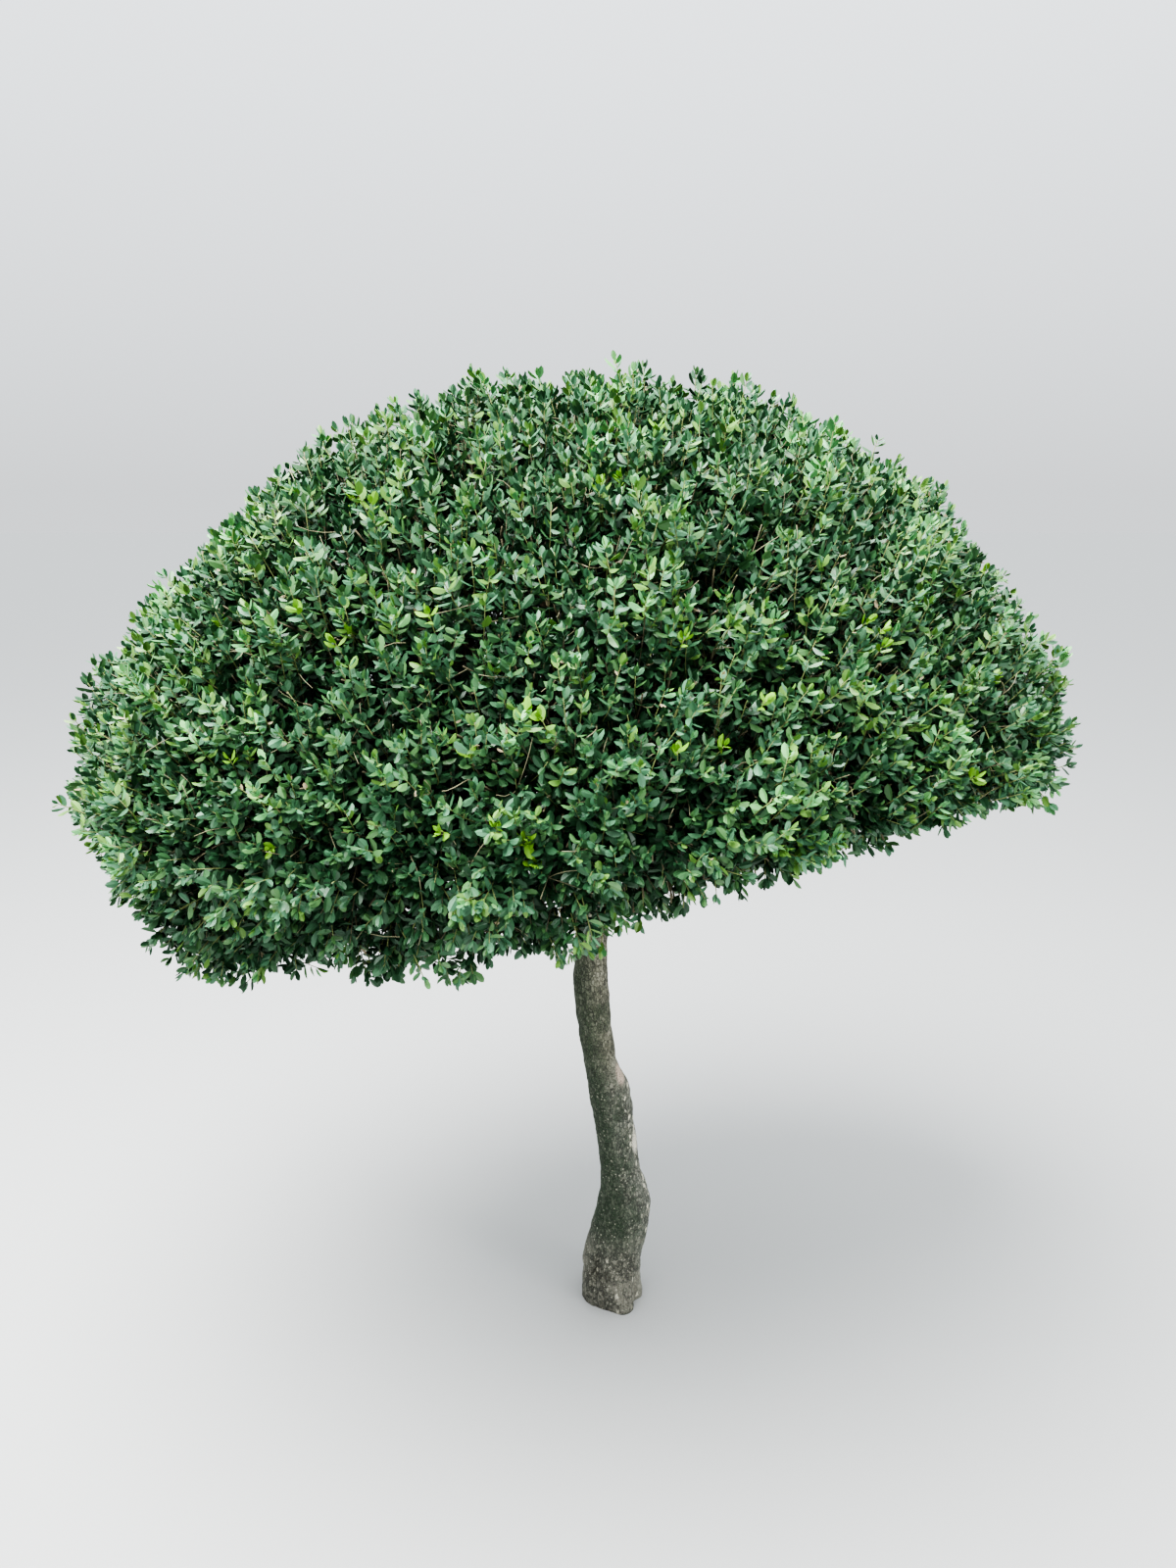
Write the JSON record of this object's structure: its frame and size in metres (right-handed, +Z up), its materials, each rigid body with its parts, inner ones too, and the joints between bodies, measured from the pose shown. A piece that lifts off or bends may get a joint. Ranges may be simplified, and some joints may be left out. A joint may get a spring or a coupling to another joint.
{
  "type": "clipped boxwood standard tree",
  "caption": "Small clipped evergreen grown as a standard: a bare, kinked trunk that carries a dense, umbrella-shaped head of small leaves.",
  "frame": {"origin": "middle of the flat cut under the trunk, at ground level", "axes": "+Z up, +X along the crown's longer side, +Y away from the side that hangs nearest the viewer of the picture"},
  "size_m": [1.517, 1.1518, 1.6423],
  "materials": {
    "bark": "grey-brown bark with green algae and pale lichen flecks",
    "foliage": "small glossy deep green leaves"
  },
  "bodies": {
    "root": {"trunk": "bark", "leader": "bark", "bough_1": "bark", "bough_2": "bark", "bough_3": "bark", "bough_4": "bark", "bough_5": "bark", "side_bough_1": "bark", "side_bough_2": "bark", "side_bough_3": "bark", "side_bough_4": "bark", "side_bough_5": "bark", "side_bough_6": "bark", "side_bough_7": "bark", "foliage_top": "foliage", "foliage_upper_1": "foliage", "foliage_upper_2": "foliage", "foliage_upper_3": "foliage", "foliage_upper_4": "foliage", "foliage_upper_5": "foliage", "foliage_rim_1": "foliage", "foliage_rim_2": "foliage", "foliage_rim_3": "foliage", "foliage_rim_4": "foliage", "foliage_rim_5": "foliage", "foliage_rim_6": "foliage", "foliage_rim_7": "foliage"}
  },
  "joints": []
}
